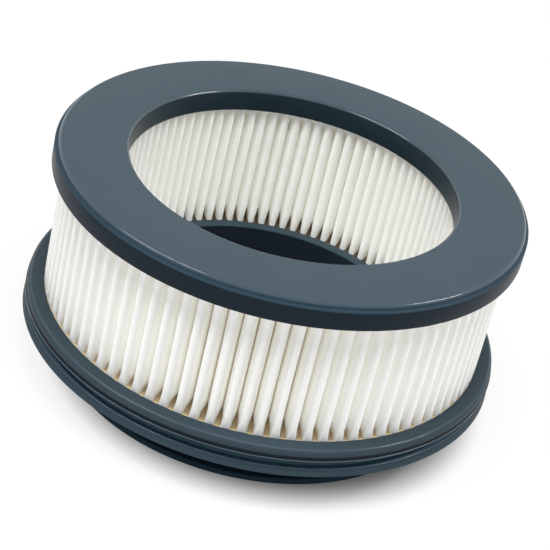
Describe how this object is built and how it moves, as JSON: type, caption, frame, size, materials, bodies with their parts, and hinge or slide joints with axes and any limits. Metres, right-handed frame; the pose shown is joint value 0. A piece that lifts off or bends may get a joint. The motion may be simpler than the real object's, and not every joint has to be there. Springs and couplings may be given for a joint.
{
  "type": "vacuum motor filter",
  "caption": "Ring-shaped pleated motor filter for a vacuum cleaner: a folded felt sheet potted between two moulded end caps with a wide central opening.",
  "frame": {"origin": "centre of the bottom cap's foot, on its underside", "axes": "+Z along the filter's axis, from the bottom cap to the top cap"},
  "size_m": [0.113, 0.113, 0.054],
  "materials": {
    "slate_plastic": "satin moulded",
    "filter_felt": "matt needled felt",
    "hot_melt": "set adhesive"
  },
  "bodies": {
    "root": {"top_cap": "slate_plastic", "pleated_media": "filter_felt", "bottom_cap": "slate_plastic", "top_adhesive": "hot_melt", "bottom_adhesive": "hot_melt"}
  },
  "joints": []
}
